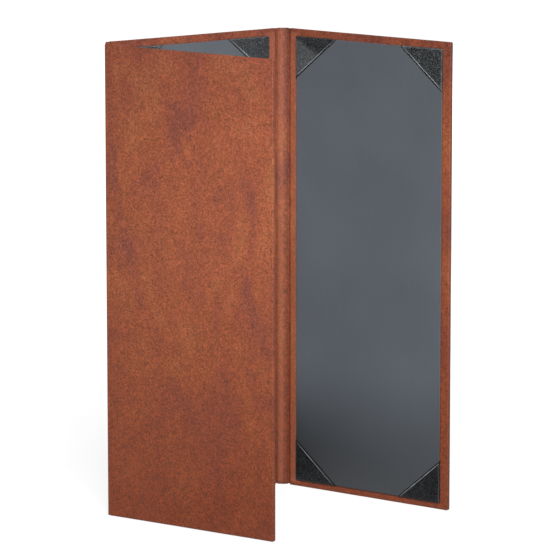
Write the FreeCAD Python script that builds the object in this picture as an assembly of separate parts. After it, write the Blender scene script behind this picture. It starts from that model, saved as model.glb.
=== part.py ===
"""Tri-fold menu cover, standing half open.

Three stiff panels are joined by two leather spines. Every panel is a board inside a
turned-in leather sheet, with a cloth lining that carries four picture corners. A spine is a
narrow board between two creases, where the leather bends.

Everything is drawn laid out flat first: X runs across the cover, Z up it, and Y through it,
with the outside of the cover at +Y and the lining at -Y. The flap and the right panel are then
turned about their creases to the standing pose. The origin is the middle of the bottom edge
of the middle panel, halfway through its thickness. All sizes are in millimetres.
"""
import FreeCAD, Part
import math
import os

# Sheet that the corners hold, 4 1/4 by 11 inches, its play in the lining, and the leather
# border that shows round the lining
insert_width = 107.95
insert_height = 279.4
play_across = 0.55
play_up = 1.75
side_border = 5.8
end_border = 4.6

# Sheet and board thicknesses
leather = 0.55
board = 1.8
spine_board = 1.0
lining_card = 0.45
lining_cloth = 0.15
corner_leather = 0.25

# Roundings
board_edge_radius = 0.15
board_corner_radius = 0.65
spine_edge_radius = 0.35
cloth_edge_radius = 0.2

# Picture corners
corner_leg_across = 30.5
corner_leg_up = 26.0
corner_hem = 3.5
corner_tail = 5.0
corner_fold_radius = 0.18
tail_to_filler = 1.2

# Hinges
crease_ease = 0.05
crease_flat = 0.02
groove_clearance = 0.225
closing_clearance = 0.3
flap_spine_room = 3.2
crease_setback = 0.6
hinge_strip_margin = 2.0

# Standing pose: the angle between the middle panel and each outer panel
flap_angle = 68.0
right_panel_angle = 110.0

# Panels
lining_width = insert_width + 2 * play_across
lining_height = insert_height + 2 * play_up
panel_width = lining_width + 2 * side_border
panel_height = lining_height + 2 * end_border
panel_thickness = board + 2 * leather
turn_in = max(side_border, end_border) + corner_tail + tail_to_filler

# Layers through a panel, from the outside at +Y to the lining at -Y
outer_face = panel_thickness / 2
board_outside = outer_face - leather
board_inside = board_outside - board
border_face = board_inside - leather
card_back = border_face - corner_leather
card_front = card_back - lining_card
cloth_front = card_front - lining_cloth
corner_front = cloth_front - 2 * corner_leather

# Creases bend about the middle of the outer leather
crease_y = outer_face - leather / 2
inner_reach = crease_y - corner_front
right_crease_pitch = 2 * inner_reach + closing_clearance
folded_panel = right_crease_pitch + leather / 2 + closing_clearance
left_crease_pitch = folded_panel + inner_reach + flap_spine_room
spine_back = board_outside - spine_board
spine_face = spine_back - leather
spine_to_crease = leather + crease_ease
panel_to_crease = crease_y - spine_face + groove_clearance
crease_x = panel_width / 2 + panel_to_crease
flap_bend = (180.0 - flap_angle) / 2
right_bend = (180.0 - right_panel_angle) / 2


def slab(x_low, x_high, y_low, y_high, z_low, z_high):
    """A plain block between two opposite corners."""
    corner = FreeCAD.Vector(x_low, y_low, z_low)
    return Part.makeBox(x_high - x_low, y_high - y_low, z_high - z_low, corner)


def edges_where(shape, test):
    """The straight edges of a shape whose two ends both pass a test."""
    chosen = []
    for edge in shape.Edges:
        ends = [vertex.Point for vertex in edge.Vertexes]
        if len(ends) == 2 and all(test(end) for end in ends):
            chosen.append(edge)
    return chosen


def near(value, target):
    return abs(value - target) < 1e-6


def wrapped_slab(x_low, x_high, y_low, y_high, z_low, z_high, open_sides, corner_radius, edge_radius):
    """A block with rounded edges. Its open sides meet a hinge, and stay square at the back.

    The corners that show from the front are rounded first, then the long edges that the
    leather is drawn over.
    """
    block = slab(x_low, x_high, y_low, y_high, z_low, z_high)
    free_ends = [x for x in (x_low, x_high) if x not in open_sides]
    if free_ends:
        upright = []
        for x in free_ends:
            for z in (z_low, z_high):
                upright += edges_where(block, lambda p, x=x, z=z: near(p.x, x) and near(p.z, z))
        block = block.makeFillet(corner_radius, upright)
    rim = []
    for edge in block.Edges:
        box = edge.BoundBox
        in_front = near(box.YMin, y_low) and near(box.YMax, y_low)
        at_back = near(box.YMin, y_high) and near(box.YMax, y_high)
        on_open_side = near(box.XMin, box.XMax) and any(near(box.XMin, x) for x in open_sides)
        if in_front or (at_back and not on_open_side):
            rim.append(edge)
    return block.makeFillet(edge_radius, rim)


def prism(points, y_low, y_high):
    """A straight-sided outline in X and Z, given a thickness in Y."""
    wire = Part.makePolygon([FreeCAD.Vector(x, y_low, z) for x, z in points + points[:1]])
    return Part.Face(wire).extrude(FreeCAD.Vector(0, y_high - y_low, 0))


def hinge_space(x_edge, inward):
    """The room of the inner leather strip on one hinge edge of a panel.

    It runs down the board's edge to the outer sheet, and over the board's inner face as far
    as a turned-in edge does. inward is +1 or -1, the way from the hinge into the panel.
    """
    z_low = hinge_strip_margin
    z_high = panel_height - hinge_strip_margin
    near_x, far_x = sorted((x_edge, x_edge + inward * turn_in))
    leaf = slab(near_x, far_x, border_face, board_inside, z_low, z_high)
    near_x, far_x = sorted((x_edge, x_edge + inward * leather))
    edge_cover = slab(near_x, far_x, border_face, board_outside, z_low, z_high)
    return leaf.fuse(edge_cover).removeSplitter()


def picture_corner(x_edge, z_edge, into_x, into_z):
    """A leatherette corner that holds one corner of the menu sheet.

    The front is a triangle one thickness clear of the cloth, so the sheet slips under it.
    Its long side is hemmed: folded under and lying on the cloth. Along the two legs it is
    drawn round the edge of the lining card and its tails are glued behind the card.
    into_x and into_z are +1 or -1, the ways from this corner into the lining.
    """
    across = corner_leg_across
    up = corner_leg_up
    out = corner_leather
    long_across = across * (1 + out / up)
    long_up = up * (1 + out / across)
    hem_share = 1 - corner_hem * math.hypot(across, up) / (across * up)

    def place(points):
        return [(x_edge + into_x * u, z_edge + into_z * v) for u, v in points]

    front = prism(
        place([(-out, -out), (long_across, -out), (-out, long_up)]),
        corner_front,
        cloth_front - corner_leather,
    )
    fold = edges_where(front, lambda p: near(p.y, corner_front))
    front = front.makeFillet(corner_fold_radius, fold)
    hem = prism(
        place([(across, 0), (0, up), (0, up * hem_share), (across * hem_share, 0)]),
        cloth_front - corner_leather,
        cloth_front,
    )
    walls = prism(
        place([(-out, -out), (long_across, -out), (across, 0), (0, 0), (0, up), (-out, long_up)]),
        cloth_front - corner_leather,
        border_face,
    )
    tail = corner_tail
    tail_across = prism(
        place([(0, 0), (across, 0), (across * (1 - tail / up), tail), (tail, tail)]),
        card_back,
        border_face,
    )
    tail_up = prism(
        place([(0, 0), (tail, tail), (tail, up * (1 - tail / across)), (0, up)]),
        card_back,
        border_face,
    )
    return front.multiFuse([hem, walls, tail_across, tail_up]).removeSplitter()


def panel(name, x_low, open_low, open_high):
    """All the pieces of one panel, laid flat with its left edge at x_low.

    open_low and open_high say which of its edges meet a hinge. Returns a dictionary of
    node name to solid.
    """
    x_high = x_low + panel_width
    open_sides = [x for x, is_open in ((x_low, open_low), (x_high, open_high)) if is_open]
    board_open = [x_low + leather] * open_low + [x_high - leather] * open_high
    stiffener = wrapped_slab(
        x_low + leather,
        x_high - leather,
        board_inside,
        board_outside,
        leather,
        panel_height - leather,
        board_open,
        board_corner_radius,
        board_edge_radius,
    )
    envelope = wrapped_slab(
        x_low,
        x_high,
        border_face,
        outer_face,
        0,
        panel_height,
        open_sides,
        board_corner_radius + leather,
        board_edge_radius + leather,
    )
    filler = slab(
        x_low + turn_in,
        x_high - turn_in,
        card_back,
        board_inside,
        turn_in,
        panel_height - turn_in,
    )
    hinge_spaces = {}
    if open_low:
        hinge_spaces["left"] = hinge_space(x_low, 1)
    if open_high:
        hinge_spaces["right"] = hinge_space(x_high, -1)
    leather_sheet = envelope.cut([stiffener, filler] + list(hinge_spaces.values()))

    card = slab(
        x_low + side_border + lining_cloth,
        x_high - side_border - lining_cloth,
        card_front,
        card_back,
        end_border + lining_cloth,
        panel_height - end_border - lining_cloth,
    )
    covered_card = slab(
        x_low + side_border,
        x_high - side_border,
        cloth_front,
        card_back,
        end_border,
        panel_height - end_border,
    )
    rim = edges_where(covered_card, lambda p: near(p.y, cloth_front))
    cloth = covered_card.makeFillet(cloth_edge_radius, rim).cut(card)

    pieces = {
        name + "_board": stiffener,
        name + "_leather": leather_sheet,
        name + "_filler": filler,
        name + "_lining_card": card,
        name + "_lining_cloth": cloth,
    }
    for side, space in hinge_spaces.items():
        suffix = "_hinge_lining" if len(hinge_spaces) == 1 else "_hinge_lining_" + side
        pieces[name + suffix] = envelope.common(space).cut(stiffener)
    levels = (("bottom", end_border, 1), ("top", panel_height - end_border, -1))
    sides = (("left", x_low + side_border, 1), ("right", x_high - side_border, -1))
    for level, z_edge, into_z in levels:
        for side, x_edge, into_x in sides:
            pieces[name + "_corner_" + level + "_" + side] = picture_corner(
                x_edge, z_edge, into_x, into_z
            )
    return pieces


def spine(name, x_low, pitch):
    """A spine laid flat between two creases, the first of them at x_low."""
    x_left = x_low + spine_to_crease
    x_right = x_low + pitch - spine_to_crease
    strip_low = hinge_strip_margin
    strip_high = panel_height - hinge_strip_margin
    stiffener = slab(
        x_left + leather,
        x_right - leather,
        spine_back,
        board_outside,
        leather,
        panel_height - leather,
    )
    crown = edges_where(stiffener, lambda p: near(p.y, spine_back))
    crown = [edge for edge in crown if near(edge.BoundBox.XMin, edge.BoundBox.XMax)]
    stiffener = stiffener.makeFillet(spine_edge_radius, crown)
    envelope = slab(x_left, x_right, spine_face, outer_face, 0, panel_height)
    crown = edges_where(envelope, lambda p: near(p.y, spine_face))
    crown = [edge for edge in crown if near(edge.BoundBox.XMin, edge.BoundBox.XMax)]
    envelope = envelope.makeFillet(spine_edge_radius + leather, crown)
    inner_space = slab(x_left, x_right, spine_face, board_outside, strip_low, strip_high)
    return {
        name + "_spine_board": stiffener,
        name + "_spine_leather": envelope.cut([stiffener, inner_space]),
        name + "_spine_lining": envelope.common(inner_space).cut(stiffener),
    }


def turned(shape, x, y, degrees):
    """A copy of a shape turned about the upright line through x, y."""
    copy = shape.copy()
    copy.rotate(FreeCAD.Vector(x, y, 0), FreeCAD.Vector(0, 0, 1), degrees)
    return copy


def crease_layer(x, panel_side, bend, y_near, y_far, z_low, z_high):
    """One leather layer of a crease, bent round the upright line at x.

    The spine side is left where it lies in the flat layout and the panel side is bent away
    from it, towards -Y. panel_side is +1 when the panel is at +X of the crease. The layer
    lies between y_near and y_far, measured from the bending line towards -Y.
    """
    half = math.radians(bend) / 2
    tangent = spine_to_crease - crease_flat
    radius = tangent / math.tan(half)
    s = panel_side
    to_panel = FreeCAD.Vector(s * math.cos(2 * half), -math.sin(2 * half), 0)
    panel_inward = FreeCAD.Vector(-s * math.sin(2 * half), -math.cos(2 * half), 0)
    to_spine = FreeCAD.Vector(-s, 0, 0)
    spine_inward = FreeCAD.Vector(0, -1, 0)
    pivot = FreeCAD.Vector(x, crease_y, z_low)
    centre = pivot + to_spine * tangent + spine_inward * radius
    bisector = pivot - centre
    bisector.normalize()

    def points(depth):
        spine_end = pivot + to_spine * spine_to_crease + spine_inward * depth
        spine_tangent = pivot + to_spine * tangent + spine_inward * depth
        middle = centre + bisector * (radius - depth)
        panel_tangent = pivot + to_panel * tangent + panel_inward * depth
        panel_end = pivot + to_panel * panel_to_crease + panel_inward * depth
        return spine_end, spine_tangent, middle, panel_tangent, panel_end

    a = points(y_near)
    b = points(y_far)
    edges = [
        Part.LineSegment(a[0], a[1]).toShape(),
        Part.Arc(a[1], a[2], a[3]).toShape(),
        Part.LineSegment(a[3], a[4]).toShape(),
        Part.LineSegment(a[4], b[4]).toShape(),
        Part.LineSegment(b[4], b[3]).toShape(),
        Part.Arc(b[3], b[2], b[1]).toShape(),
        Part.LineSegment(b[1], b[0]).toShape(),
        Part.LineSegment(b[0], a[0]).toShape(),
    ]
    return Part.Face(Part.Wire(edges)).extrude(FreeCAD.Vector(0, 0, z_high - z_low))


def crease(x, panel_side, bend):
    """The outer and inner leather of one crease, bent, beside its spine laid flat.

    The outer sheet is turned over at the head and the tail, so it is two layers thick there;
    between them the inner strip lies on it.
    """
    low = crease_setback
    high = panel_height - crease_setback
    strip_low = hinge_strip_margin
    strip_high = panel_height - hinge_strip_margin
    skin = leather / 2
    outer = crease_layer(x, panel_side, bend, -skin, skin, low, high)
    tail = crease_layer(x, panel_side, bend, skin, skin + leather, low, strip_low)
    head = crease_layer(x, panel_side, bend, skin, skin + leather, strip_high, high)
    inner = crease_layer(x, panel_side, bend, skin, skin + leather, strip_low, strip_high)
    return outer.multiFuse([tail, head]).removeSplitter(), inner


os.makedirs("parts", exist_ok=True)

# The middle panel stands where it is drawn
middle = panel("middle", -panel_width / 2, True, True)

# Left: a wide spine, since the flap shuts over the folded right panel
left_outer_crease_x = -crease_x - left_crease_pitch
left_spine = spine("left", left_outer_crease_x, left_crease_pitch)
flap = panel("flap", left_outer_crease_x - panel_to_crease - panel_width, False, True)
outer, inner = crease(-crease_x, 1, flap_bend)
left_spine["left_outer_crease_middle"] = outer
left_spine["left_inner_crease_middle"] = inner
outer, inner = crease(left_outer_crease_x, -1, flap_bend)
left_spine["left_outer_crease_flap"] = outer
left_spine["left_inner_crease_flap"] = inner

# Right: a spine just wide enough for two panels face to face
right_outer_crease_x = crease_x + right_crease_pitch
right_spine = spine("right", crease_x, right_crease_pitch)
right_panel = panel("right_panel", right_outer_crease_x + panel_to_crease, True, False)
outer, inner = crease(crease_x, -1, right_bend)
right_spine["right_outer_crease_middle"] = outer
right_spine["right_inner_crease_middle"] = inner
outer, inner = crease(right_outer_crease_x, 1, right_bend)
right_spine["right_outer_crease_panel"] = outer
right_spine["right_inner_crease_panel"] = inner

# Standing pose: each panel turns about its own crease, then with its spine
standing = dict(middle)
for node, shape in flap.items():
    shape = turned(shape, left_outer_crease_x, crease_y, flap_bend)
    standing[node] = turned(shape, -crease_x, crease_y, flap_bend)
for node, shape in left_spine.items():
    standing[node] = turned(shape, -crease_x, crease_y, flap_bend)
for node, shape in right_panel.items():
    shape = turned(shape, right_outer_crease_x, crease_y, -right_bend)
    standing[node] = turned(shape, crease_x, crease_y, -right_bend)
for node, shape in right_spine.items():
    standing[node] = turned(shape, crease_x, crease_y, -right_bend)

for node, shape in standing.items():
    solids = shape.Solids
    if len(solids) != 1 or not shape.isValid():
        raise SystemExit("%s has %d solids, valid %s" % (node, len(solids), shape.isValid()))
    solids[0].exportStep("parts/" + node + ".step")

# Crease lines in the standing pose, where the hinges turn
left_turn = math.radians(flap_bend)
right_turn = math.radians(right_bend)
flap_crease = (
    -crease_x - left_crease_pitch * math.cos(left_turn),
    crease_y - left_crease_pitch * math.sin(left_turn),
)
panel_crease = (
    crease_x + right_crease_pitch * math.cos(right_turn),
    crease_y - right_crease_pitch * math.sin(right_turn),
)
print("nodes %d" % len(standing))
print("panel %.3f x %.3f x %.3f" % (panel_width, panel_thickness, panel_height))
print("middle creases x +-%.4f y %.4f" % (crease_x, crease_y))
print("crease pitch left %.4f right %.4f" % (left_crease_pitch, right_crease_pitch))
print("flap crease x %.4f y %.4f, bent %.2f" % (flap_crease + (flap_bend,)))
print("panel crease x %.4f y %.4f, bent %.2f" % (panel_crease + (right_bend,)))
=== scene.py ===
"""Looks for the tri-fold menu cover: tan bonded leather over board, slate linings, black corners."""
import bpy
import math
import numpy as np
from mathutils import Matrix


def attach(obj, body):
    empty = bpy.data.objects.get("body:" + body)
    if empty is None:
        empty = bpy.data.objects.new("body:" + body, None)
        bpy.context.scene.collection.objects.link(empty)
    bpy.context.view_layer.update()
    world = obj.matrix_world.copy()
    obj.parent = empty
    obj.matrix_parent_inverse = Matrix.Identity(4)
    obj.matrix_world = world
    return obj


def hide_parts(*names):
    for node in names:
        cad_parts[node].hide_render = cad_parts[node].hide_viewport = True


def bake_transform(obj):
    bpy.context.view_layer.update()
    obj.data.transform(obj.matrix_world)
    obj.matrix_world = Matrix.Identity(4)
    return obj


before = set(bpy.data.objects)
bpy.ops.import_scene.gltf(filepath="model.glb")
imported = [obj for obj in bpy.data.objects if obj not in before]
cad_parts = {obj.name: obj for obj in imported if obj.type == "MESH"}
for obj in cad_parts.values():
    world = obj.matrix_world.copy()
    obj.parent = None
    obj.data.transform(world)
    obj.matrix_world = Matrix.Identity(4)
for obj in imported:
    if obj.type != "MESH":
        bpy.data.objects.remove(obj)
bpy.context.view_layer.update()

# ---------------------------------------------------------------- boards inside the covers
# Pressed greyboard stiffens each panel and spine; a card filler levels the turned-in leather
# and a second card carries each lining. All of it is hidden once the cover is glued up, and
# the solids already have the right shape.


def linear(colour):
    """The linear RGBA of an sRGB hex colour: each channel c becomes ((c + 0.055) / 1.055) ** 2.4."""
    channels = [int(colour[i:i + 2], 16) / 255 for i in (1, 3, 5)]
    return [((c + 0.055) / 1.055) ** 2.4 if c > 0.04045 else c / 12.92 for c in channels] + [1.0]


def add_node(material, kind, settings=None, links=None):
    """Adds a node. Settings are its properties, links its inputs: a value, or another node's socket."""
    node = material.node_tree.nodes.new(kind)
    for name, value in (settings or {}).items():
        if name == "stops":
            ramp = node.color_ramp
            while len(ramp.elements) < len(value):
                ramp.elements.new(0.5)
            for element, (place, colour) in zip(ramp.elements, value):
                element.position = place
                element.color = linear(colour) if isinstance(colour, str) else [colour] * 3 + [1.0]
        else:
            setattr(node, name, value)
    for name, value in (links or {}).items():
        if isinstance(value, bpy.types.NodeSocket):
            material.node_tree.links.new(value, node.inputs[name])
        else:
            node.inputs[name].default_value = value
    return node


def new_material(name):
    """An empty node material with its output node."""
    material = bpy.data.materials.new(name)
    material.use_nodes = True
    material.node_tree.nodes.clear()
    return material, material.node_tree.nodes.new("ShaderNodeOutputMaterial")


def dress(names, material):
    """Gives the CAD nodes of these names one material in every slot."""
    for name in names:
        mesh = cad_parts[name].data
        if not mesh.materials:
            mesh.materials.append(material)
        for i in range(len(mesh.materials)):
            mesh.materials[i] = material


# Greyboard, pressed from waste paper: dull, with darker and lighter fibres about 1 mm long.
greyboard, output = new_material("pressed_greyboard")
place = add_node(greyboard, "ShaderNodeTexCoord").outputs["Object"]
fibres = add_node(greyboard, "ShaderNodeTexNoise", links={"Vector": place, "Scale": 900.0, "Detail": 4.0})
tint = add_node(
    greyboard, "ShaderNodeValToRGB",
    {"stops": [(0.35, "#7D766C"), (0.5, "#8F887D"), (0.68, "#A39C90")]},
    {"Fac": fibres.outputs["Fac"]},
)
relief = add_node(
    greyboard, "ShaderNodeBump",
    links={"Height": fibres.outputs["Fac"], "Distance": 0.00005, "Strength": 0.5},
)
shader = add_node(
    greyboard, "ShaderNodeBsdfPrincipled",
    links={"Base Color": tint.outputs["Color"], "Roughness": 0.9, "IOR": 1.5,
           "Normal": relief.outputs["Normal"]},
)
greyboard.node_tree.links.new(shader.outputs["BSDF"], output.inputs["Surface"])

# Solid card, smoother and paler than the board, with a faint pulp cloudiness.
card, output = new_material("calendered_card")
place = add_node(card, "ShaderNodeTexCoord").outputs["Object"]
pulp = add_node(card, "ShaderNodeTexNoise", links={"Vector": place, "Scale": 260.0, "Detail": 5.0})
tint = add_node(
    card, "ShaderNodeValToRGB",
    {"stops": [(0.35, "#BDB7A9"), (0.65, "#D0CABD")]},
    {"Fac": pulp.outputs["Fac"]},
)
shader = add_node(
    card, "ShaderNodeBsdfPrincipled",
    links={"Base Color": tint.outputs["Color"], "Roughness": 0.75, "IOR": 1.5},
)
card.node_tree.links.new(shader.outputs["BSDF"], output.inputs["Surface"])

dress([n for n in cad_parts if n.endswith("_board")], greyboard)
dress([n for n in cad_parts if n.endswith(("_filler", "_lining_card"))], card)

# ---------------------------------------------------------------- panel covers
# Each panel is a 1.8 mm board inside tan bonded leather, which is glued on, turned over the
# edges and mitred at the corners. At a hinge the inner strip closes the edge, and the outer
# sheet runs straight on over the crease.
panel_width = 0.12065
panel_height = 0.2921
panel_half_thickness = 0.00145
edge_radius = 0.0007
corner_radius = 0.0012
side_border = 0.0058
end_border = 0.0046
crease_x = 0.062375
crease_y = 0.001175
panel_to_crease = 0.00205
left_pitch = 0.016
right_pitch = 0.00825
flap_bend = 56.0
right_bend = 35.0


def turned(points, x, y, degrees):
    """Points turned about the upright line through x, y: x and y mix by the angle's cosine and sine."""
    c, s = math.cos(math.radians(degrees)), math.sin(math.radians(degrees))
    dx, dy = points[..., 0] - x, points[..., 1] - y
    return np.stack([x + dx * c - dy * s, y + dx * s + dy * c, points[..., 2]], axis=-1)


def settled(points, part):
    """Flat-laid points in the standing pose: outer panels turn about both creases, spines about one."""
    if part == "flap":
        points = turned(points, -crease_x - left_pitch, crease_y, flap_bend)
    if part in ("flap", "left_spine"):
        return turned(points, -crease_x, crease_y, flap_bend)
    if part == "right_panel":
        points = turned(points, crease_x + right_pitch, crease_y, -right_bend)
    if part in ("right_panel", "right_spine"):
        return turned(points, crease_x, crease_y, -right_bend)
    return points


def closed_grid(name, grid, laid, painted_light_and_wear, material):
    """A closed piece from a grid of points (rows by places round a loop).

    Row r, place p joins row r + 1, place p + 1, wrapping round the loop. The first and last
    rows are folded flat onto a core line, and points that fall together are merged. laid
    holds the same points on the flat-laid sheet, for the material's pattern, and the grid
    after it holds a value per point for edge wear, painted shade and painted highlight, which
    each material turns into darker or paler colour in its own way; on a turned edge it rises
    and fades beside it.
    """
    rows, around = grid.shape[:2]
    index = np.arange(rows * around).reshape(rows, around)
    onward = np.roll(index, -1, axis=1)
    faces = np.stack([index[:-1], onward[:-1], onward[1:], index[1:]], axis=-1).reshape(-1, 4)
    points = grid.reshape(-1, 3)
    keys = np.round(points * 1e7).astype(np.int64)
    _, first, same = np.unique(keys, axis=0, return_index=True, return_inverse=True)
    same = same.reshape(-1)
    faces = same[faces]
    repeats = (faces == np.roll(faces, -1, axis=1)).sum(axis=1)
    folded = (faces[:, 0] == faces[:, 2]) | (faces[:, 1] == faces[:, 3])
    quads = faces[(repeats == 0) & ~folded]
    single = faces[(repeats == 1) & ~folded]
    keep = single != np.roll(single, -1, axis=1)
    triangles = single[keep].reshape(-1, 3)
    mesh = bpy.data.meshes.new(name)
    mesh.from_pydata(points[first].tolist(), [], quads.tolist() + triangles.tolist())
    sheet = mesh.attributes.new("sheet_place", "FLOAT_VECTOR", "POINT")
    sheet.data.foreach_set("vector", laid.reshape(-1, 3)[first].astype(np.float32).ravel())
    edge = mesh.attributes.new("rubbed_edge", "FLOAT", "POINT")
    edge.data.foreach_set("value", painted_light_and_wear.reshape(-1)[first].astype(np.float32))
    mesh.update()
    mesh.shade_smooth()
    mesh.set_sharp_from_angle(angle=math.radians(35))
    mesh.materials.append(material)
    piece = bpy.data.objects.new(name, mesh)
    bpy.context.scene.collection.objects.link(piece)
    return piece


def drift(a, b, seed, longest):
    """A slow unevenness from -1 to 1: six sine waves across a and b, none shorter than a sixth of longest."""
    chance = np.random.default_rng(seed)
    total = 0
    for wave in range(6):
        turn = chance.uniform(0, math.tau)
        length = longest / (1 + wave)
        phase = (a * math.cos(turn) + b * math.sin(turn)) * math.tau / length
        total = total + np.sin(phase + chance.uniform(0, math.tau)) / (1 + 0.5 * wave)
    return total / 3.2


def panel_cover(name, part, x_low, open_low, open_high, seed):
    """A board wrapped in leather, as rings carried from the middle of one face to the other.

    The path is the panel's outline, with rounded corners where an edge is free. The profile
    runs in from the lining side's middle line, over the edge in a quarter circle, down the
    edge, round again and back. At a hinge the outside corner of the profile stays square.
    """
    x_high = x_low + panel_width
    across = np.linspace(0, 1, 41)
    up = np.linspace(0, 1, 99)
    turn = np.linspace(0, math.pi / 2, 7)[1:-1]
    low_radius = 0.00015 if open_low else corner_radius
    high_radius = 0.00015 if open_high else corner_radius
    start, stop = x_low + low_radius, x_high - high_radius
    bottom, top = low_radius, panel_height - low_radius
    bottom_high, top_high = high_radius, panel_height - high_radius
    # Outline, anticlockwise from the bottom left as seen from the lining side
    x = np.concatenate([
        start + (stop - start) * across,
        stop + high_radius * np.sin(turn),
        np.full(99, x_high),
        stop + high_radius * np.cos(turn),
        stop - (stop - start) * across,
        start - low_radius * np.sin(turn),
        np.full(99, x_low),
        start - low_radius * np.cos(turn),
    ])
    z = np.concatenate([
        np.zeros(41),
        bottom_high - high_radius * np.cos(turn),
        bottom_high + (top_high - bottom_high) * up,
        top_high + high_radius * np.sin(turn),
        np.full(41, panel_height),
        top + low_radius * np.cos(turn),
        top - (top - bottom) * up,
        bottom - low_radius * np.sin(turn),
    ])
    out_x = np.concatenate([
        np.zeros(41), np.sin(turn), np.ones(99), np.cos(turn),
        np.zeros(41), -np.sin(turn), -np.ones(99), -np.cos(turn),
    ])
    out_z = np.concatenate([
        -np.ones(41), -np.cos(turn), np.zeros(99), np.sin(turn),
        np.ones(41), np.cos(turn), np.zeros(99), -np.sin(turn),
    ])
    arc = np.full_like(x, 1.0)
    for first, radius in ((41, high_radius), (145, high_radius), (191, low_radius), (295, low_radius)):
        arc[first:first + 5] = radius
    core_z = np.clip(z, panel_width / 2, panel_height - panel_width / 2)
    core = np.stack([np.full_like(x, (x_low + x_high) / 2), core_z], axis=-1)
    hinge = np.zeros_like(x)
    if open_low:
        hinge = np.maximum(hinge, np.clip(-out_x, 0, 1) ** 4)
    if open_high:
        hinge = np.maximum(hinge, np.clip(out_x, 0, 1) ** 4)
    outside_radius = edge_radius * (1 - hinge) + 0.00002 * hinge
    quarter = np.linspace(0, math.pi / 2, 8)
    face_share = [0.0, 0.3, 0.6, 0.85]
    face_inset = [0.0075, 0.0063, 0.0057, 0.0052, 0.0046, 0.0041, 0.0034, 0.0026, 0.0018, 0.0012]

    def drawn_in(inset):
        """The outline moved in along its normals; a corner's arc shrinks to the inner rectangle's corner."""
        inset = np.broadcast_to(inset, x.shape)
        reach = np.minimum(inset, arc)
        return np.stack([
            np.clip(x - out_x * reach, x_low + inset, x_high - inset),
            np.clip(z - out_z * reach, inset, panel_height - inset),
        ], axis=-1)

    last = drawn_in(face_inset[0])
    rings, depths, insets = [], [], []
    for side, radius in ((-1, np.full_like(x, edge_radius)), (1, outside_radius)):
        rows = [(core + (last - core) * share, np.zeros_like(x), face_inset[0]) for share in face_share]
        rows += [(drawn_in(inset), np.zeros_like(x), inset) for inset in face_inset]
        for angle in quarter:
            rows.append((drawn_in(radius * (1 - math.sin(angle))), radius * (1 - math.cos(angle)),
                         edge_radius * (1 - math.sin(angle))))
        for outline, drop, inset in rows[::-side]:
            rings.append(outline)
            depths.append(side * (panel_half_thickness - drop))
            insets.append(np.full_like(x, inset))
    rings, depths, insets = np.array(rings), np.array(depths), np.array(insets)
    laid = np.stack([rings[..., 0], depths, rings[..., 1]], axis=-1)
    # The hand-turned edges wander by about a tenth of a millimetre, but not beside a hinge
    px, pz = laid[..., 0], laid[..., 2]
    from_hinge = np.ones_like(px)
    if open_low:
        from_hinge = np.minimum(from_hinge, np.clip((px - x_low) / 0.008, 0, 1))
    if open_high:
        from_hinge = np.minimum(from_hinge, np.clip((x_high - px) / 0.008, 0, 1))
    wander = (1 + drift(px, pz, seed, 0.11)) * np.clip(1 - insets / 0.005, 0, 1) * from_hinge
    shaped = laid.copy()
    shaped[..., 0] -= out_x * wander * 0.00007
    shaped[..., 2] -= out_z * wander * 0.00005
    # Darker on the turned edge, partly wear and partly painted shade; a painted shadow line where the lining's edge
    # meets the leather; and painted light that makes the inner hinge strip paler
    inner_face = (depths < 0) * np.clip((insets - 0.0004) / 0.0006, 0, 1)
    gap = np.maximum(np.abs(px - (x_low + x_high) / 2) - panel_width / 2 + side_border,
                     np.abs(pz - panel_height / 2) - panel_height / 2 + end_border)
    strip = np.zeros_like(px)
    if open_low:
        strip = np.maximum(strip, np.clip((x_low + 0.0072 - px) / 0.0008, 0, 1))
    if open_high:
        strip = np.maximum(strip, np.clip((px - x_high + 0.0072) / 0.0008, 0, 1))
    strip = strip * np.clip((np.minimum(pz, panel_height - pz) - 0.0018) / 0.0004, 0, 1)
    painted_light_and_wear = 0.45 * np.exp(-(insets / 0.0009) ** 2) * (1 - 0.8 * hinge * (depths < 0))
    painted_light_and_wear = painted_light_and_wear + inner_face * (0.9 * np.exp(-np.clip(gap, 0, 1) / 0.00045) - 0.9 * strip)
    return closed_grid(name, settled(shaped, part), laid, painted_light_and_wear, leather)


# Bonded leather: ground hide fibre with a printed grain and a smoky tan finish applied by rubbing.
# It is nearly matt and cloudy in patches of 20 to 50 mm, and its pores are under 1 mm across.
# Painted shade makes it darker and deeper in colour towards the foot and darker near the top.
leather, output = new_material("rubbed_bonded_leather")
place = add_node(leather, "ShaderNodeAttribute", {"attribute_name": "sheet_place"}).outputs["Vector"]
drawn = add_node(
    leather, "ShaderNodeMapping",
    links={"Vector": place, "Rotation": (0.0, -0.6, 0.0), "Scale": (1.0, 1.0, 0.55)},
)
clouds = add_node(
    leather, "ShaderNodeTexNoise",
    links={"Vector": drawn.outputs["Vector"], "Scale": 32.0, "Detail": 4.0, "Roughness": 0.55,
           "Distortion": 0.9},
)
smoke = add_node(
    leather, "ShaderNodeTexNoise",
    links={"Vector": drawn.outputs["Vector"], "Scale": 130.0, "Detail": 5.0, "Roughness": 0.65,
           "Distortion": 0.8},
)
specks = add_node(
    leather, "ShaderNodeTexNoise",
    links={"Vector": place, "Scale": 850.0, "Detail": 3.0, "Roughness": 0.8},
)
pores = add_node(
    leather, "ShaderNodeTexVoronoi", {"feature": "DISTANCE_TO_EDGE"},
    {"Vector": place, "Scale": 950.0, "Randomness": 1.0},
)
patch = add_node(
    leather, "ShaderNodeMapRange",
    links={"Value": clouds.outputs["Fac"], "From Min": 0.36, "From Max": 0.66},
)
tan = add_node(
    leather, "ShaderNodeValToRGB",
    {"stops": [(0.0, "#844636"), (0.3, "#914C34"), (0.65, "#9A5234"), (1.0, "#A05B3A")]},
    {"Fac": patch.outputs["Result"]},
)
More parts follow.
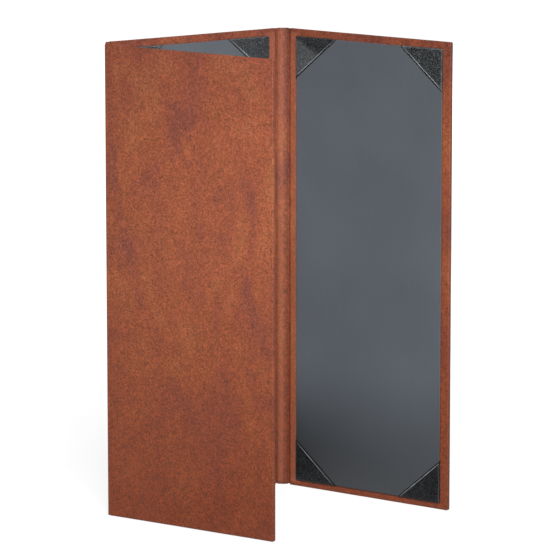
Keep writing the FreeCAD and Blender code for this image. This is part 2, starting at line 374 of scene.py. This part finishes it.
# Painted shade: below 170 mm the tan is mixed towards a deep brown, most at the foot, and above 230 mm towards a dark
# brown, most at the top
height = add_node(leather, "ShaderNodeSeparateXYZ", links={"Vector": place})
foot = add_node(
    leather, "ShaderNodeMapRange",
    links={"Value": height.outputs["Z"], "From Min": 0.17, "From Max": 0.0, "To Min": 0.0, "To Max": 0.85},
)
tan = add_node(
    leather, "ShaderNodeMix", {"data_type": "RGBA"},
    {0: foot.outputs["Result"], 6: tan.outputs["Color"], 7: linear("#7B3515")},
)
head = add_node(
    leather, "ShaderNodeMapRange",
    links={"Value": height.outputs["Z"], "From Min": 0.23, "From Max": 0.29, "To Min": 0.0, "To Max": 0.4},
)
tan = add_node(
    leather, "ShaderNodeMix", {"data_type": "RGBA"},
    {0: head.outputs["Result"], 6: tan.outputs[2], 7: linear("#7E3F30")},
)
shade = add_node(
    leather, "ShaderNodeMapRange",
    links={"Value": smoke.outputs["Fac"], "From Min": 0.3, "From Max": 0.7, "To Min": 0.93, "To Max": 1.06},
)
dots = add_node(
    leather, "ShaderNodeMapRange",
    links={"Value": specks.outputs["Fac"], "From Min": 0.3, "From Max": 0.7, "To Min": 0.44, "To Max": 1.62},
)
mottle = add_node(
    leather, "ShaderNodeTexNoise",
    links={"Vector": place, "Scale": 260.0, "Detail": 2.0, "Roughness": 0.6, "Distortion": 1.0},
)
spots = add_node(
    leather, "ShaderNodeMapRange",
    links={"Value": mottle.outputs["Fac"], "From Min": 0.3, "From Max": 0.7, "To Min": 0.83, "To Max": 1.15},
)
shade = add_node(
    leather, "ShaderNodeMath", {"operation": "MULTIPLY"},
    {0: shade.outputs["Result"], 1: dots.outputs["Result"]},
)
shade = add_node(
    leather, "ShaderNodeMath", {"operation": "MULTIPLY"},
    {0: shade.outputs["Value"], 1: spots.outputs["Result"]},
)
# Fine wrinkles, where a distorted noise passes its middle value, hold a little more of the finish
wander = add_node(
    leather, "ShaderNodeTexNoise",
    links={"Vector": drawn.outputs["Vector"], "Scale": 75.0, "Detail": 3.5, "Roughness": 0.55, "Distortion": 1.4},
)
apart = add_node(
    leather, "ShaderNodeMath", {"operation": "SUBTRACT"}, {0: wander.outputs["Fac"], 1: 0.5},
)
apart = add_node(leather, "ShaderNodeMath", {"operation": "ABSOLUTE"}, {0: apart.outputs["Value"]})
wrinkles = add_node(
    leather, "ShaderNodeMapRange",
    links={"Value": apart.outputs["Value"], "From Min": 0.0, "From Max": 0.016, "To Min": 0.84, "To Max": 1.0},
)
shade = add_node(
    leather, "ShaderNodeMath", {"operation": "MULTIPLY"},
    {0: shade.outputs["Value"], 1: wrinkles.outputs["Result"]},
)
# Turned edges are darker, partly wear and partly painted shade; grooves and the leather beside a lining's edge are
# darkened as painted shade, and the inner hinge strip and spine crowns are made paler as painted light
edge = add_node(leather, "ShaderNodeAttribute", {"attribute_name": "rubbed_edge"})
wear_and_painted_light_factor = add_node(
    leather, "ShaderNodeMath", {"operation": "MULTIPLY_ADD"}, {0: edge.outputs["Fac"], 1: -0.32, 2: 1.0},
)
shade = add_node(
    leather, "ShaderNodeMath", {"operation": "MULTIPLY"},
    {0: shade.outputs["Value"], 1: wear_and_painted_light_factor.outputs["Value"]},
)
colour = add_node(
    leather, "ShaderNodeMix", {"data_type": "RGBA", "blend_type": "MULTIPLY"},
    {0: 1.0, 6: tan.outputs[2], 7: shade.outputs["Value"]},
)
# Painted highlight: where the mark is below 0, on the inner hinge strip and the spine crowns, the colour is mixed
# towards a pale pinkish tan, as a sheen would make it
pale = add_node(
    leather, "ShaderNodeMath", {"operation": "MULTIPLY", "use_clamp": True}, {0: edge.outputs["Fac"], 1: -0.45},
)
colour = add_node(
    leather, "ShaderNodeMix", {"data_type": "RGBA"},
    {0: pale.outputs["Value"], 6: colour.outputs[2], 7: linear("#A0664E")},
)
grain = add_node(
    leather, "ShaderNodeMath", {"operation": "MULTIPLY_ADD"},
    {0: pores.outputs["Distance"], 1: 1.6, 2: specks.outputs["Fac"]},
)
grain = add_node(
    leather, "ShaderNodeMath", {"operation": "MULTIPLY_ADD"},
    {0: wrinkles.outputs["Result"], 1: 3.0, 2: grain.outputs["Value"]},
)
relief = add_node(
    leather, "ShaderNodeBump",
    links={"Height": grain.outputs["Value"], "Distance": 0.00012, "Strength": 0.6},
)
gloss = add_node(
    leather, "ShaderNodeMapRange",
    links={"Value": smoke.outputs["Fac"], "From Min": 0.3, "From Max": 0.7, "To Min": 0.5, "To Max": 0.62},
)
shader = add_node(
    leather, "ShaderNodeBsdfPrincipled",
    links={"Base Color": colour.outputs[2], "Roughness": gloss.outputs["Result"], "IOR": 1.48,
           "Normal": relief.outputs["Normal"]},
)
leather.node_tree.links.new(shader.outputs["BSDF"], output.inputs["Surface"])

middle_cover = panel_cover("middle_cover", "middle", -panel_width / 2, True, True, 11)
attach(middle_cover, "middle_panel")
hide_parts("middle_leather", "middle_hinge_lining_left", "middle_hinge_lining_right")
flap_left = -crease_x - left_pitch - panel_to_crease - panel_width
flap_cover = panel_cover("flap_cover", "flap", flap_left, False, True, 12)
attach(flap_cover, "front_flap")
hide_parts("flap_leather", "flap_hinge_lining")
right_left = crease_x + right_pitch + panel_to_crease
right_panel_cover = panel_cover("right_panel_cover", "right_panel", right_left, True, False, 13)
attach(right_panel_cover, "right_panel")
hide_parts("right_panel_leather", "right_panel_hinge_lining")

# ---------------------------------------------------------------- spines
# A spine is a narrow 1 mm board between two creases, with the outer sheet behind it and the
# inner strip pressed over it in front, so it stands up as a softly rounded ridge.
spine_to_crease = 0.0006
spine_face = -0.00065
spine_crown = 0.001


def spine_cover(name, part, x_low, pitch, power, seed):
    """A crowned bar: one flat-backed profile carried up the panel's height, with rounded ends.

    The front of the profile is a superellipse, 1 - |t| ** n to the power 1 / n, over the
    width; the ends draw in towards the core line by a quarter circle and close on it.
    """
    x_left = x_low + spine_to_crease
    x_right = x_low + pitch - spine_to_crease
    half = (x_right - x_left) / 2
    middle = (x_right + x_left) / 2
    t = -np.cos(np.linspace(0, math.pi, 41))
    front_x = middle + half * t
    rise = (1 - np.abs(t) ** power) ** (1 / power)
    foot = spine_face + spine_crown
    front_y = foot + (spine_face - foot) * rise
    back_x = middle - half * np.linspace(-1, 1, 15)
    back_y = np.full(15, panel_half_thickness)
    loop_x = np.concatenate([front_x, back_x])
    loop_y = np.concatenate([front_y, back_y])
    core_x = middle + (loop_x - middle) * 0.8
    core_y = np.full_like(loop_x, (foot + panel_half_thickness) / 2)
    r = 0.0005
    ease = np.linspace(0, math.pi / 2, 7)
    z_low = r * (1 - np.cos(ease))[::-1]
    low_share = 1 - (1 - np.sqrt(np.clip(1 - (1 - z_low / r) ** 2, 0, 1))) * 0.35
    body_z = np.linspace(r, panel_height - r, 120)[1:-1]
    z = np.concatenate([[0, 0], z_low[::-1] * 0 + np.sort(z_low), body_z,
                        panel_height - np.sort(z_low)[::-1], [panel_height, panel_height]])
    share = np.concatenate([[0, 0.6], low_share[np.argsort(z_low)], np.ones(118),
                            low_share[np.argsort(z_low)][::-1], [0.6, 0]])
    flat = np.stack([
        core_x + (loop_x - core_x) * share[:, None],
        core_y + (loop_y - core_y) * share[:, None],
        np.repeat(z[:, None], len(loop_x), axis=1),
    ], axis=-1)
    shaped = flat.copy()
    front = np.concatenate([rise, np.zeros(15)])
    shaped[..., 1] -= drift(flat[..., 0] * 2, flat[..., 2], seed, 0.05) * 0.00006 * front
    # Darker at the head and foot ends, partly wear and partly painted shade
    painted_light_and_wear = np.exp(-(np.minimum(flat[..., 2], panel_height - flat[..., 2]) / 0.0007) ** 2)
    # Painted light: the crown is painted pale as a highlight and the flank towards the outer panel painted darker as
    # shade
    over, low, high = (t, -0.3, 0.65) if part == "right_spine" else (-t, 0.6, 1.0)
    flank = np.clip((over - low) / (high - low), 0, 1)
    painted_light_amount = np.concatenate([1.6 * flank ** 2 * (3 - 2 * flank) - 0.8, np.zeros(15)])
    return closed_grid(name, settled(shaped, part), flat, painted_light_and_wear + painted_light_amount, leather)


left_spine_cover = spine_cover("left_spine_cover", "left_spine", -crease_x - left_pitch, left_pitch, 3.5, 21)
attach(left_spine_cover, "left_spine")
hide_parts("left_spine_leather", "left_spine_lining")
right_spine_cover = spine_cover("right_spine_cover", "right_spine", crease_x, right_pitch, 2.0, 22)
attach(right_spine_cover, "right_spine")
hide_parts("right_spine_leather", "right_spine_lining")

# ---------------------------------------------------------------- creases
# Between board and board the two leathers are glued to each other and nipped down with a
# folder, which leaves a soft groove. It bends here and nowhere else.
crease_flat = 0.00002
skin = 0.00055
crease_end = 0.00025


def crease(name, part, x, side, bend, seed):
    """A strip of two leathers bent about the upright line at x.

    Along the strip, a runs from the spine at -0.6 mm to the panel at 2.05 mm; across it, d is
    the depth from the bending line. Between the two tangent points the strip follows a
    circle of radius tangent / tan(bend / 2) about a centre on the lining side, and past
    them it runs straight. side is +1 when the panel is at +X of the crease.
    """
    half = math.radians(bend) / 2
    tangent = spine_to_crease - crease_flat
    radius = tangent / math.tan(half)
    a = np.concatenate([np.linspace(-spine_to_crease, tangent, 17), np.linspace(tangent, panel_to_crease, 10)[1:]])
    outer = np.full_like(a, -skin / 2)
    # The groove's floor, lifted into a small fillet against the panel's edge
    floor = np.full_like(a, skin * 1.5)
    at_panel = np.clip((a - 0.0014) / 0.00065, 0, 1)
    floor = floor + 0.0007 * at_panel ** 2
    along = np.concatenate([a, a[::-1]])
    depth = np.concatenate([outer, floor[::-1]])
    core_depth = np.full_like(along, skin * 0.5)
    z = np.concatenate([
        [crease_end] * 2, crease_end + np.array([0, 0.00006, 0.00016, 0.0003]),
        np.linspace(0.0012, panel_height - 0.0012, 90),
        panel_height - crease_end - np.array([0.0003, 0.00016, 0.00006, 0]),
        [panel_height - crease_end] * 2,
    ])
    share = np.concatenate([[0, 0.35], [0.6, 0.82, 0.95, 1], np.ones(90), [1, 0.95, 0.82, 0.6], [0.35, 0]])
    d = core_depth + (depth - core_depth) * share[:, None]
    a_grid = np.repeat(along[None], len(z), axis=0)
    z_grid = np.repeat(z[:, None], len(along), axis=1)
    inside = np.repeat((np.arange(len(along)) >= len(a))[None], len(z), axis=0)
    d = d + inside * drift(a_grid * 8, z_grid, seed, 0.03) * 0.00005 * (share[:, None] > 0.99)
    # Bend: position and inward direction along the spine side, the circle or the panel side
    angle = np.clip((a_grid + tangent) / (2 * tangent), 0, 1) * 2 * half
    circle_x = radius * np.sin(angle) - tangent
    circle_y = radius - radius * np.cos(angle)
    beyond = np.clip(a_grid - tangent, 0, None)
    before = np.clip(a_grid + tangent, None, 0)
    px = circle_x + beyond * np.cos(angle) + before - d * np.sin(angle)
    py = circle_y + beyond * np.sin(angle) + d * np.cos(angle)
    bent = np.stack([x + side * px, crease_y - py, z_grid], axis=-1)
    laid = np.stack([x + side * a_grid, crease_y - d, z_grid], axis=-1)
    if side > 0:
        bent, laid = bent[:, ::-1], laid[:, ::-1]
    # The spine side lies as in the flat layout of the spine, which then turns with it
    # Darker near the ends, partly wear and partly painted shade, and painted shade along the inner groove, deepest from
    # the spine side to the bend
    painted_light_and_wear = np.exp(-(np.minimum(z_grid, panel_height - z_grid) / 0.0012) ** 2) + inside * (0.3 + 0.5 * np.exp(-(np.clip(a_grid, 0, 1) / 0.0007) ** 2))
    piece = closed_grid(name, settled(bent, part), laid, painted_light_and_wear, leather)
    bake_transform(piece)
    return piece


piece = crease("left_crease_middle", "left_spine", -crease_x, 1, flap_bend, 31)
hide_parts("left_outer_crease_middle", "left_inner_crease_middle")
piece = crease("left_crease_flap", "left_spine", -crease_x - left_pitch, -1, flap_bend, 32)
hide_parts("left_outer_crease_flap", "left_inner_crease_flap")
piece = crease("right_crease_middle", "right_spine", crease_x, -1, right_bend, 33)
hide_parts("right_outer_crease_middle", "right_inner_crease_middle")
piece = crease("right_crease_panel", "right_spine", crease_x + right_pitch, 1, right_bend, 34)
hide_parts("right_outer_crease_panel", "right_inner_crease_panel")

# ---------------------------------------------------------------- linings
# Slate satin book cloth is drawn over a card and glued inside each panel. The solids have
# its flat face and softly rounded rim.

# Satin-faced rayon book cloth: smooth, with a low sheen, and threads about 0.3 mm apart that
# show only as a faint upright streak.
lining, output = new_material("satin_book_cloth")
place = add_node(lining, "ShaderNodeTexCoord").outputs["Object"]
stretched = add_node(lining, "ShaderNodeMapping", links={"Vector": place, "Scale": (1.0, 1.0, 0.05)})
threads = add_node(
    lining, "ShaderNodeTexNoise",
    links={"Vector": stretched.outputs["Vector"], "Scale": 1700.0, "Detail": 2.0, "Roughness": 0.6},
)
cloud = add_node(
    lining, "ShaderNodeTexNoise",
    links={"Vector": place, "Scale": 14.0, "Detail": 2.0, "Roughness": 0.5},
)
mixed = add_node(
    lining, "ShaderNodeMath", {"operation": "MULTIPLY_ADD"},
    {0: threads.outputs["Fac"], 1: 0.35, 2: cloud.outputs["Fac"]},
)
tint = add_node(
    lining, "ShaderNodeValToRGB",
    {"stops": [(0.0, "#5A5F65"), (1.0, "#62686F")]},
)
spread = add_node(
    lining, "ShaderNodeMapRange",
    links={"Value": mixed.outputs["Value"], "From Min": 0.45, "From Max": 0.9},
)
lining.node_tree.links.new(spread.outputs["Result"], tint.inputs["Fac"])
# Painted shade: over the lowest 92 mm the cloth darkens towards the foot, down to 0.15 of its colour where Y is above
# -10 mm, near the middle panel and the hinges, and to 0.42 where Y is below -110 mm, towards the free edges
height = add_node(lining, "ShaderNodeSeparateXYZ", links={"Vector": place})
deepest = add_node(
    lining, "ShaderNodeMapRange",
    links={"Value": height.outputs["Y"], "From Min": -0.11, "From Max": -0.01, "To Min": 0.42, "To Max": 0.15},
)
foot = add_node(
    lining, "ShaderNodeMapRange", {"interpolation_type": "SMOOTHSTEP"},
    {"Value": height.outputs["Z"], "From Min": 0.012, "From Max": 0.092, "To Min": deepest.outputs["Result"],
     "To Max": 1.0},
)
colour = add_node(
    lining, "ShaderNodeMix", {"data_type": "RGBA", "blend_type": "MULTIPLY"},
    {0: 1.0, 6: tint.outputs["Color"], 7: foot.outputs["Result"]},
)
relief = add_node(
    lining, "ShaderNodeBump",
    links={"Height": threads.outputs["Fac"], "Distance": 0.00003, "Strength": 0.3},
)
shader = add_node(
    lining, "ShaderNodeBsdfPrincipled",
    links={"Base Color": colour.outputs[2], "Roughness": 0.42, "IOR": 1.5,
           "Sheen Weight": 0.15, "Sheen Roughness": 0.4, "Normal": relief.outputs["Normal"]},
)
lining.node_tree.links.new(shader.outputs["BSDF"], output.inputs["Surface"])
dress([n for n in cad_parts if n.endswith("_lining_cloth")], lining)

# ---------------------------------------------------------------- picture corners
# A folded piece of black leatherette holds each corner of the sheet. Its long side is hemmed
# into a small roll, and its two legs are drawn over the lining's edge and glued down.
leg_across = 0.0305
leg_up = 0.026
corner_leather = 0.00025
border_face = -0.00145
hem_roll = 0.00027
pillow_edge = 0.0017

# Pebble-grained leatherette: PVC on cotton, embossed in pebbles under 1 mm across, which catch
# small dull lights; the pebble tops are paler grey, partly grain and partly painted glint. Along
# the fold a pale grey line is partly print stretched smooth and partly painted highlight, and
# the turned-under side is darkened as painted shadow.
pebbled, output = new_material("embossed_leatherette")
place = add_node(pebbled, "ShaderNodeAttribute", {"attribute_name": "sheet_place"}).outputs["Vector"]
fold = add_node(pebbled, "ShaderNodeAttribute", {"attribute_name": "rubbed_edge"})
pebbles = add_node(
    pebbled, "ShaderNodeTexVoronoi", {"feature": "SMOOTH_F1"},
    {"Vector": place, "Scale": 1250.0, "Randomness": 1.0, "Smoothness": 0.4},
)
wear = add_node(
    pebbled, "ShaderNodeTexNoise",
    links={"Vector": place, "Scale": 560.0, "Detail": 4.0, "Roughness": 0.7},
)
top = add_node(
    pebbled, "ShaderNodeMath", {"operation": "MULTIPLY_ADD"},
    {0: wear.outputs["Fac"], 1: -0.9, 2: pebbles.outputs["Distance"]},
)
# Partly painted glint: the pebble tops are mixed towards a pale grey, the hollows towards near black
tint = add_node(
    pebbled, "ShaderNodeValToRGB",
    {"stops": [(0.0, "#5E6164"), (0.35, "#3A3D3F"), (0.7, "#26292A"), (1.0, "#161819")]},
)
spread = add_node(
    pebbled, "ShaderNodeMapRange",
    links={"Value": top.outputs["Value"], "From Min": -0.35, "From Max": 0.3},
)
pebbled.node_tree.links.new(spread.outputs["Result"], tint.inputs["Fac"])
# Painted shade and light: the colour is multiplied by 0.45 low down, rising to 1.3 near the top
height = add_node(pebbled, "ShaderNodeSeparateXYZ", links={"Vector": place})
foot = add_node(
    pebbled, "ShaderNodeMapRange",
    links={"Value": height.outputs["Z"], "From Min": 0.02, "From Max": 0.28, "To Min": 0.45, "To Max": 1.3},
)
colour = add_node(
    pebbled, "ShaderNodeMix", {"data_type": "RGBA", "blend_type": "MULTIPLY"},
    {0: 1.0, 6: tint.outputs["Color"], 7: foot.outputs["Result"]},
)
# Mixed towards pale grey where the mark is above 0: on the hem's crest partly print stretched smooth and partly painted
# highlight, along the legs and on the one painted fold a painted highlight
colour = add_node(
    pebbled, "ShaderNodeMix", {"data_type": "RGBA"},
    {0: fold.outputs["Fac"], 6: colour.outputs[2], 7: linear("#B9BCBF")},
)
# Painted shadow: where the mark is below 0, on the hem's roll and the dark side of the painted fold, the colour is
# multiplied down to 0.12
under = add_node(
    pebbled, "ShaderNodeMapRange",
    links={"Value": fold.outputs["Fac"], "From Min": -1.0, "From Max": 0.0, "To Min": 0.12, "To Max": 1.0},
)
colour = add_node(
    pebbled, "ShaderNodeMix", {"data_type": "RGBA", "blend_type": "MULTIPLY"},
    {0: 1.0, 6: colour.outputs[2], 7: under.outputs["Result"]},
)
relief = add_node(
    pebbled, "ShaderNodeBump", {"invert": True},
    {"Height": top.outputs["Value"], "Distance": 0.0002, "Strength": 0.7},
)
sheen = add_node(
    pebbled, "ShaderNodeMapRange",
    links={"Value": height.outputs["Z"], "From Min": 0.02, "From Max": 0.28, "To Min": 0.12, "To Max": 0.6},
)
shader = add_node(
    pebbled, "ShaderNodeBsdfPrincipled",
    links={"Base Color": colour.outputs[2], "Roughness": 0.42, "IOR": 1.52,
           "Specular IOR Level": sheen.outputs["Result"], "Normal": relief.outputs["Normal"]},
)
pebbled.node_tree.links.new(shader.outputs["BSDF"], output.inputs["Surface"])


def picture_corner(name, part, edge_x, edge_z, into_x, into_z, painted_fold, seed):
    """A hemmed triangle of leatherette over one corner of a lining, as rows along its long side.

    p and q run from the corner into the lining. Row after row, p / P + q / Q falls from 1 at
    the hem to 0 at the corner. The front is a pillow, higher by sqrt(1 - (1 - e / w) ** 2) at a
    distance e from each leg, and at the hem it turns down round a half circle.
    """
    reach_p = leg_across + corner_leather * (1 + leg_across / leg_up)
    reach_q = leg_up + corner_leather * (1 + leg_up / leg_across)
    height = reach_p * reach_q / math.hypot(reach_p, reach_q)
    bend = np.linspace(-math.pi / 2, math.pi / 2, 11)
    inward = np.concatenate([
        [hem_roll] * 2, hem_roll * (1 - np.cos(bend)),
        [0.00036, 0.00046, 0.00058, 0.0007, 0.00084, 0.001, 0.0014, 0.002, 0.003, 0.0034, 0.0038],
        np.linspace(0.005, height - 0.0024, 14),
        height - np.array([0.0019, 0.0014, 0.001, 0.00065, 0.0004, 0.0002, 0.00007, 0]),
    ])
    left = 1 - inward / height
    row_p, row_q = (reach_p * left)[:, None], (reach_q * left)[:, None]
    steps = np.array([0, 0.03, 0.1, 0.2, 0.35, 0.55, 0.8, 1.0]) * pillow_edge
    near_p = steps * np.minimum(1, row_p / (3 * pillow_edge))
    near_q = steps * np.minimum(1, row_q / (3 * pillow_edge))
    share = np.linspace(0, 1, 18)[1:-1]
    first = near_p[:, -1:]
    safe_q = np.maximum(row_q, 1e-9)
    last = row_p * (1 - near_q[:, -1:] / safe_q)
    p = np.concatenate([near_p, first + (last - first) * share, (row_p * (1 - near_q / safe_q))[:, ::-1]], axis=1)
    q = row_q * (1 - p / np.maximum(row_p, 1e-9))
    q = np.where(row_p > 1e-9, q, 0)
    rise = np.sqrt(np.clip(1 - (1 - np.clip(p / pillow_edge, 0, 1)) ** 2, 0, 1))
    rise = rise * np.sqrt(np.clip(1 - (1 - np.clip(q / pillow_edge, 0, 1)) ** 2, 0, 1))
    slack = drift(p * 2.5, q * 2.5, seed, 0.05)
    crown = np.exp(-(np.maximum(inward - hem_roll, 0) / 0.0006) ** 2)[:, None]
    step = (0.5 - 0.5 * np.tanh((inward - 0.0034) / 0.0003))[:, None]
    top = border_face - 0.00085 - rise * (0.00042 + 0.00005 * step + 0.00006 * crown + 0.00005 * slack)
    roll_down = np.zeros(len(inward))
    roll_down[2:13] = hem_roll * (1 - np.sin(bend))
    roll_down[:2] = 2 * hem_roll
    top = top + roll_down[:, None]
    flat_row = np.ones((len(inward), 1))
    zero = np.zeros((len(inward), 1))
    foot = (border_face + 0.00001) * flat_row
    middle_p = np.linspace(1, 0, 12)[1:-1]
    p = np.concatenate([p, row_p, row_p * middle_p, zero], axis=1)
    q = np.concatenate([q, zero, row_q * (1 - middle_p), row_q], axis=1)
    y = np.concatenate([top, foot, foot * np.ones((1, 10)), foot], axis=1)
    y[0] = border_face - 0.0003
    # Painted marks on the hem: crest is a pale line, partly print stretched smooth and partly painted highlight, and
    # underside darkens the roll's outer 0.6 mm as painted shadow
    crest = np.exp(-((inward - 0.0009) / 0.0002) ** 4)[:, None]
    underside = np.clip(1 - (inward - 0.0006) / 0.00012, 0, 1)[:, None]
    # The painted highlight and painted shadow lines of the hem thin out towards its ends and wander in strength
    front_p, front_q = p[:, :32], q[:, :32]
    bow = np.clip(4 * front_p / reach_p * front_q / reach_q, 0, 1) ** 0.5
    painted_light_amount = np.clip(0.72 + 0.5 * drift(front_p, front_q, seed + 40, 0.03), 0.25, 1)
    edge = np.zeros_like(y)
    edge[:, :32] = crest * bow * painted_light_amount - underside * (0.4 + 0.6 * bow)
    # Painted highlight along the top or bottom leg, stronger on the top corners as if lit from above, and a fainter one
    # along the side leg
    top_leg = 0.3 if into_z < 0 else 0.05
    folds = 0.12 * np.exp(-((front_p - 0.0004) / 0.00025) ** 2) + top_leg * np.exp(-((front_q - 0.0004) / 0.00025) ** 2)
    # One corner gets a painted fold from its tip to the hem: painted shade above it and painted light below it; its
    # shape has no fold
    below = front_q / reach_q - 0.67 * front_p / reach_p
    folds = folds * painted_light_amount + painted_fold * (0.1 - 0.42 / (1 + np.exp(below / 0.025)))
    edge[:, :32] += folds * (inward > 0.001)[:, None]
    x = edge_x + into_x * (p - corner_leather)
    z = edge_z + into_z * (q - corner_leather)
    flat = np.stack([x, y, z], axis=-1)
    if into_x * into_z > 0:
        flat, edge = flat[:, ::-1], edge[:, ::-1]
    piece = closed_grid(name, settled(flat, part), flat, np.clip(edge, -1, 1), pebbled)
    return piece


seed = 50
for part, body, x_low in (
    ("middle", "middle_panel", -panel_width / 2),
    ("flap", "front_flap", flap_left),
    ("right_panel", "right_panel", right_left),
):
    for side, edge_x, into_x in (
        ("left", x_low + side_border, 1),
        ("right", x_low + panel_width - side_border, -1),
    ):
        for level, edge_z, into_z in (("bottom", end_border, 1), ("top", panel_height - end_border, -1)):
            seed += 1
            node = part + "_corner_" + level + "_" + side
            # Only this corner gets the painted fold of light and shade
            painted_fold = 1.0 if node == "right_panel_corner_top_left" else 0.0
            piece = picture_corner(node + "_hemmed", part, edge_x, edge_z, into_x, into_z, painted_fold, seed)
            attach(piece, body)
            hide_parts(node)

# ---------------------------------------------------------------- floor
# A pale studio floor that runs back far enough to fill the picture. To the camera and in gloss
# it glows to white further out, and near the cover it keeps the soft shadow at its foot.
floor_reach = 9.0
mesh = bpy.data.meshes.new("studio_floor")
corners = np.array([(-1, -1), (1, -1), (1, 1), (-1, 1)]) * floor_reach
mesh.from_pydata(np.column_stack([corners, np.full(4, -0.0003)]).tolist(), [], [(0, 1, 2, 3)])
studio_floor = bpy.data.objects.new("studio_floor", mesh)
bpy.context.scene.collection.objects.link(studio_floor)
pale, output = new_material("painted_floor")
place = add_node(pale, "ShaderNodeTexCoord").outputs["Object"]
roller = add_node(pale, "ShaderNodeTexNoise", links={"Vector": place, "Scale": 60.0, "Detail": 3.0})
tint = add_node(
    pale, "ShaderNodeValToRGB",
    {"stops": [(0.3, "#7A7A7A"), (0.7, "#808080")]},
    {"Fac": roller.outputs["Fac"]},
)
paint = add_node(
    pale, "ShaderNodeBsdfPrincipled",
    links={"Base Color": tint.outputs["Color"], "Roughness": 0.95, "Specular IOR Level": 0.1},
)
from_cover = add_node(pale, "ShaderNodeVectorMath", {"operation": "LENGTH"}, {0: place})
brightness = add_node(
    pale, "ShaderNodeMapRange",
    links={"Value": from_cover.outputs["Value"], "From Min": 0.12, "From Max": 0.6, "To Min": 0.84, "To Max": 1.0},
)
glow = add_node(pale, "ShaderNodeEmission", links={"Strength": brightness.outputs["Result"]})
lit = add_node(pale, "ShaderNodeAddShader", links={0: paint.outputs["BSDF"], 1: glow.outputs["Emission"]})
ray = add_node(pale, "ShaderNodeLightPath")
seen = add_node(
    pale, "ShaderNodeMath", {"operation": "MAXIMUM"},
    {0: ray.outputs["Is Camera Ray"], 1: ray.outputs["Is Glossy Ray"]},
)
choice = add_node(
    pale, "ShaderNodeMixShader",
    links={0: seen.outputs["Value"], 1: paint.outputs["BSDF"], 2: lit.outputs["Shader"]},
)
pale.node_tree.links.new(choice.outputs["Shader"], output.inputs["Surface"])
mesh.materials.append(pale)

# ---------------------------------------------------------------- light and camera
# A large soft box in front and above, another behind and a dim even surround, as for a
# catalogue picture, with a long lens a little above the cover.
scene = bpy.context.scene
scene.view_settings.view_transform = "Standard"
world = bpy.data.worlds.new("studio_surround")
world.use_nodes = True
scene.world = world
sky = world.node_tree.nodes["Background"]
sky.inputs["Color"].default_value = (1, 1, 1, 1)
sky.inputs["Strength"].default_value = 0.14


def soft_box(name, place, target, size, power):
    """A square area lamp at a place, turned to a target point."""
    data = bpy.data.lights.new(name, "AREA")
    data.size = size
    data.energy = power
    lamp = bpy.data.objects.new(name, data)
    scene.collection.objects.link(lamp)
    lamp.location = place
    aim = np.array(target) - np.array(place)
    level = math.hypot(aim[0], aim[1])
    lamp.rotation_euler = (math.pi / 2 + math.atan2(aim[2], level), 0, math.atan2(-aim[0], aim[1]))
    return lamp


key_box = soft_box("key_box", (-0.4, -0.84, 0.8), (0.02, -0.05, 0.12), 0.4, 1.2)
key_box.data.spread = math.radians(40)
back_box = soft_box("back_box", (1.5, 1.4, 0.8), (0.02, -0.05, 0.18), 1.0, 26.0)
back_box.visible_glossy = False

camera_data = bpy.data.cameras.new("camera")
camera_data.sensor_width = 36.0
camera_data.lens = 266.6
camera_data.clip_start = 0.1
camera_data.clip_end = 30.0
camera = bpy.data.objects.new("camera", camera_data)
scene.collection.objects.link(camera)
camera.location = (-1.37723, -2.13562, 0.60608)
camera.rotation_euler = (math.radians(90 - 10.43), 0, math.radians(-34.02))
scene.camera = camera
